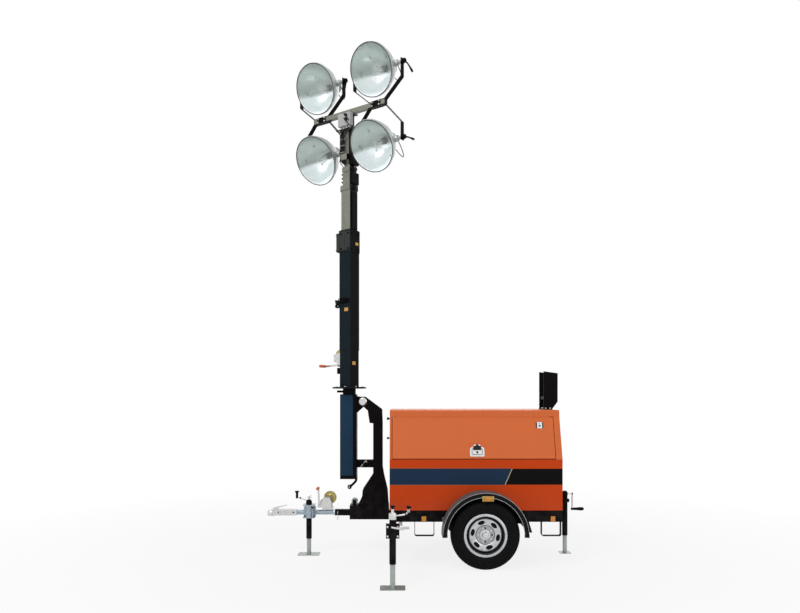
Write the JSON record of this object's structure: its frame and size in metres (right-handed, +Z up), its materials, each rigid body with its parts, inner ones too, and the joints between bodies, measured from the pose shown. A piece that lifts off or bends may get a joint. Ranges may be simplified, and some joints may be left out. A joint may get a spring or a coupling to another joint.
{
  "type": "mobile light tower",
  "caption": "Towed light tower with an enclosed generator, outriggers, jacks and a tilting, turning telescopic mast of floodlights",
  "frame": {"origin": "on the ground under the middle of the length, on the centre line", "axes": "+Z up, -X to the towing end, -Y to the side seen in the picture"},
  "size_m": [3.3, 2.95, 5.1407],
  "materials": {
    "orange_paint": "satin",
    "blue_paint": "satin",
    "black_paint": "satin",
    "zinc": "galvanised",
    "bright_zinc": "bright zinc",
    "yellow_zinc": "yellow zinc",
    "wheel_silver": "satin",
    "rubber": "matte",
    "glass": "clear",
    "engine_grey": "matte",
    "socket_white": "matte"
  },
  "bodies": {
    "chassis": {"axle": "black_paint", "cable_roller": "zinc", "canopy_floor": "black_paint", "canopy_front": "orange_paint", "canopy_rear": "orange_paint", "canopy_roof": "orange_paint", "canopy_side_left": "orange_paint", "canopy_side_right": "orange_paint", "chassis_ladder": "black_paint", "chassis_rail_left": "black_paint", "chassis_rail_right": "black_paint", "drawbar": "black_paint", "drawbar_tube": "bright_zinc", "drawbar_winch": "yellow_zinc", "engine_block": "engine_grey", "fender_left": "black_paint", "fender_right": "black_paint", "front_jack_clamp": "zinc", "front_jack_leg": "zinc", "front_jack_outer": "black_paint", "mast_pivot_pin": "bright_zinc", "mast_post": "black_paint", "mast_rest": "black_paint", "outrigger_sleeves": "black_paint", "rear_jack_leg": "zinc", "rear_jack_outer": "black_paint", "tow_coupling": "bright_zinc"},
    "door_left": {"canopy_door_left": "orange_paint"},
    "door_right": {"canopy_door_right": "orange_paint"},
    "control_door": {"control_door": "orange_paint"},
    "outrigger_left": {"outrigger_left_beam": "black_paint", "outrigger_left_leg": "zinc", "outrigger_left_outer": "black_paint"},
    "outrigger_right": {"outrigger_right_beam": "black_paint", "outrigger_right_leg": "zinc", "outrigger_right_outer": "black_paint"},
    "wheel_left": {"rim_left": "wheel_silver", "tyre_left": "rubber"},
    "wheel_right": {"rim_right": "wheel_silver", "tyre_right": "rubber"},
    "mast_base": {"mast_base": "blue_paint"},
    "mast": {"mast_section_1": "black_paint", "mast_winch": "yellow_zinc"},
    "section_2": {"mast_section_2": "zinc"},
    "section_3": {"mast_section_3": "zinc"},
    "section_4": {"lamp_yokes_left": "black_paint", "lamp_yokes_right": "black_paint", "mast_section_4": "zinc", "socket_box": "socket_white"},
    "lamp_upper_left": {"lamp_glass_upper_left": "glass", "lamp_upper_left": "zinc"},
    "lamp_upper_right": {"lamp_glass_upper_right": "glass", "lamp_upper_right": "zinc"},
    "lamp_lower_left": {"lamp_glass_lower_left": "glass", "lamp_lower_left": "zinc"},
    "lamp_lower_right": {"lamp_glass_lower_right": "glass", "lamp_lower_right": "zinc"}
  },
  "joints": [
    {"name": "door_left", "type": "hinge", "parent": "chassis", "child": "door_left", "pos_m": [0.477, -0.45924, 1.4237], "axis": [-1, 0, 0], "range_deg": [0, 80]},
    {"name": "door_right", "type": "hinge", "parent": "chassis", "child": "door_right", "pos_m": [0.477, 0.45924, 1.4237], "axis": [1, 0, 0], "range_deg": [0, 80]},
    {"name": "control_door", "type": "hinge", "parent": "chassis", "child": "control_door", "pos_m": [1.293, -0.2537, 1.1], "axis": [0, 0, -1], "range_deg": [0, 110]},
    {"name": "outrigger_left", "type": "slide", "parent": "chassis", "child": "outrigger_left", "axis": [0, 1, 0], "range_m": [0, 0.66]},
    {"name": "outrigger_right", "type": "slide", "parent": "chassis", "child": "outrigger_right", "axis": [0, -1, 0], "range_m": [0, 0.66]},
    {"name": "wheel_left", "type": "hinge", "parent": "chassis", "child": "wheel_left", "pos_m": [0.535, -0.7045, 0.325], "axis": [0, 1, 0], "continuous": true},
    {"name": "wheel_right", "type": "hinge", "parent": "chassis", "child": "wheel_right", "pos_m": [0.535, 0.7045, 0.325], "axis": [0, 1, 0], "continuous": true},
    {"name": "mast_tilt", "type": "hinge", "parent": "chassis", "child": "mast_base", "pos_m": [-0.648, 0, 1.577], "axis": [0, 1, 0], "range_deg": [0, 90]},
    {"name": "mast_turn", "type": "hinge", "parent": "mast_base", "child": "mast", "pos_m": [-0.795, 0, 1.712], "axis": [0, 0, 1], "range_deg": [-54, 305]},
    {"name": "mast_slide_2", "type": "slide", "parent": "mast", "child": "section_2", "axis": [0, 0, 1], "range_m": [0, 1.24]},
    {"name": "mast_slide_3", "type": "slide", "parent": "section_2", "child": "section_3", "axis": [0, 0, 1], "range_m": [0, 1.24]},
    {"name": "mast_slide_4", "type": "slide", "parent": "section_3", "child": "section_4", "axis": [0, 0, 1], "range_m": [0, 1.24]},
    {"name": "lamp_upper_left_tilt", "type": "hinge", "parent": "section_4", "child": "lamp_upper_left", "pos_m": [-1.10081, 0.22218, 4.94], "axis": [0.809, -0.5878, 0], "range_deg": [-67, 38]},
    {"name": "lamp_upper_right_tilt", "type": "hinge", "parent": "section_4", "child": "lamp_upper_right", "pos_m": [-0.48919, -0.22218, 4.94], "axis": [0.809, -0.5878, 0], "range_deg": [-67, 38]},
    {"name": "lamp_lower_left_tilt", "type": "hinge", "parent": "section_4", "child": "lamp_lower_left", "pos_m": [-1.10081, 0.22218, 4.19], "axis": [0.809, -0.5878, 0], "range_deg": [-74, 31]},
    {"name": "lamp_lower_right_tilt", "type": "hinge", "parent": "section_4", "child": "lamp_lower_right", "pos_m": [-0.48919, -0.22218, 4.19], "axis": [0.809, -0.5878, 0], "range_deg": [-74, 31]}
  ],
  "couplings": [
    {"joint": "mast_slide_3", "follows": "mast_slide_2", "ratio": 1},
    {"joint": "mast_slide_4", "follows": "mast_slide_2", "ratio": 1}
  ]
}
